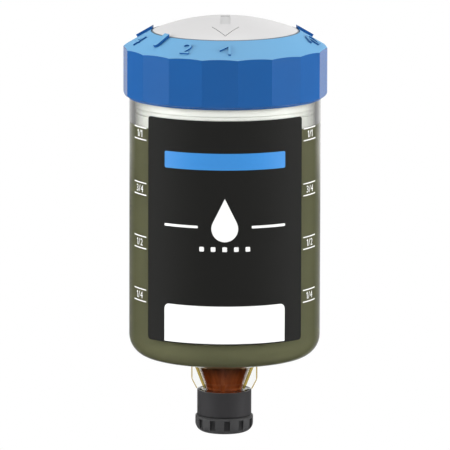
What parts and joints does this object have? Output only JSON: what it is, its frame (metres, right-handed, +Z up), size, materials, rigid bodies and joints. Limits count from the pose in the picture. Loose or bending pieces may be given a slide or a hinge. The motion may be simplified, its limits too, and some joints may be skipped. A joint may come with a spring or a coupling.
{
  "type": "automatic lubricator",
  "caption": "Single-point automatic grease lubricator: clear ribbed-neck container, olive grease, black label, blue faceted cover with domed setting dial, black outlet cap.",
  "frame": {"origin": "on the axis at the seat plane, where the threaded outlet stub meets the feet of the neck's ribs", "axes": "+Z up along the lubricator's axis, from the outlet to the dial; -Y is the front, which the label and the dial's arrow face"},
  "size_m": [0.0564, 0.056, 0.1165],
  "materials": {
    "clear_plastic": "clear moulded, glossy",
    "grease": "wet olive-grey grease",
    "label_film": "satin black film with a white write-on field",
    "ring_plastic": "blue moulded, satin",
    "dial_plastic": "pale grey moulded, satin",
    "piston_plastic": "white moulded",
    "cover_plastic": "white moulded",
    "cap_plastic": "black moulded, matt",
    "seal_rubber": "black nitrile",
    "porous_plastic": "sintered white",
    "cell_steel": "nickel-plated cans",
    "strap_nickel": "nickel strip",
    "board_laminate": "green glass-epoxy laminate",
    "resistor_ceramic": "beige lacquered",
    "screw_steel": "zinc-plated",
    "spring_steel": "bright spring steel",
    "contact_bronze": "phosphor bronze"
  },
  "bodies": {
    "housing": {"container": "clear_plastic", "grease_fill": "grease", "label": "label_film", "top_ring": "ring_plastic", "detent_spring": "spring_steel", "inner_cover": "cover_plastic", "cover_seal": "seal_rubber", "gas_membrane": "porous_plastic", "gas_cell_1": "cell_steel", "gas_cell_2": "cell_steel", "gas_cell_3": "cell_steel", "cell_straps": "strap_nickel", "circuit_board": "board_laminate", "timing_resistors": "resistor_ceramic", "board_screws": "screw_steel"},
    "dial": {"dial": "dial_plastic", "dial_seal": "seal_rubber", "dial_clip": "spring_steel", "selector_wiper": "contact_bronze"},
    "piston": {"piston": "piston_plastic", "piston_seal": "seal_rubber"},
    "cap": {"outlet_cap": "cap_plastic"}
  },
  "joints": [
    {"name": "dial_turn", "type": "hinge", "parent": "housing", "child": "dial", "pos_m": [0, 0, 0.0985], "axis": [0, 0, -1], "range_deg": [0, 280.5]},
    {"name": "piston_stroke", "type": "slide", "parent": "housing", "child": "piston", "axis": [0, 0, -1], "range_m": [0, 0.0585], "deforming": ["grease_fill"]},
    {"name": "cap_pull", "type": "slide", "parent": "housing", "child": "cap", "axis": [0, 0, -1], "range_m": [0, 0.03]}
  ]
}
